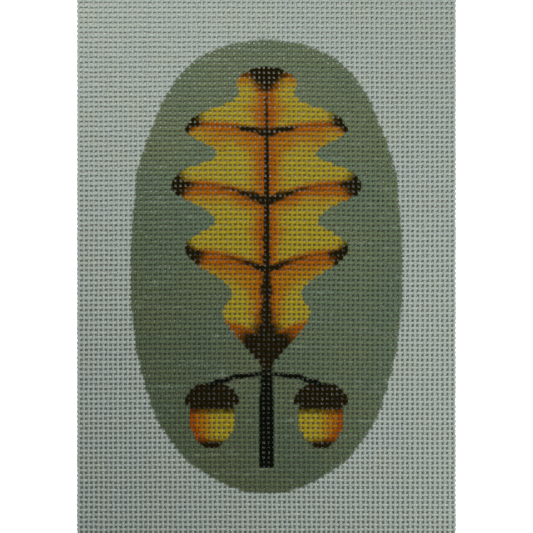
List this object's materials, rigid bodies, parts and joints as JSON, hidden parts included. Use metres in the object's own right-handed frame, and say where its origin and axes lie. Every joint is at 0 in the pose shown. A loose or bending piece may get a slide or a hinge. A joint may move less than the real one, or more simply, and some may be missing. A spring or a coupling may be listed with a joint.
{
  "type": "painted needlepoint canvas",
  "caption": "Flat panel of stiff open-mesh cotton canvas with a painted oval, oak leaf and acorns to stitch over, and bare margins for tacking it to a frame.",
  "frame": {"origin": "middle of the flat back of the cloth, which lies on the surface below it", "axes": "+X across the panel along the weft threads, +Y up the panel along the warp threads, +Z out of the painted face"},
  "size_m": [0.1086, 0.1608, 0.001],
  "materials": {
    "canvas": "matt, stiffly sized cotton thread, bare in the margins and hand painted with thin acrylic in the oval"
  },
  "bodies": {
    "root": {"canvas": "canvas"}
  },
  "joints": []
}
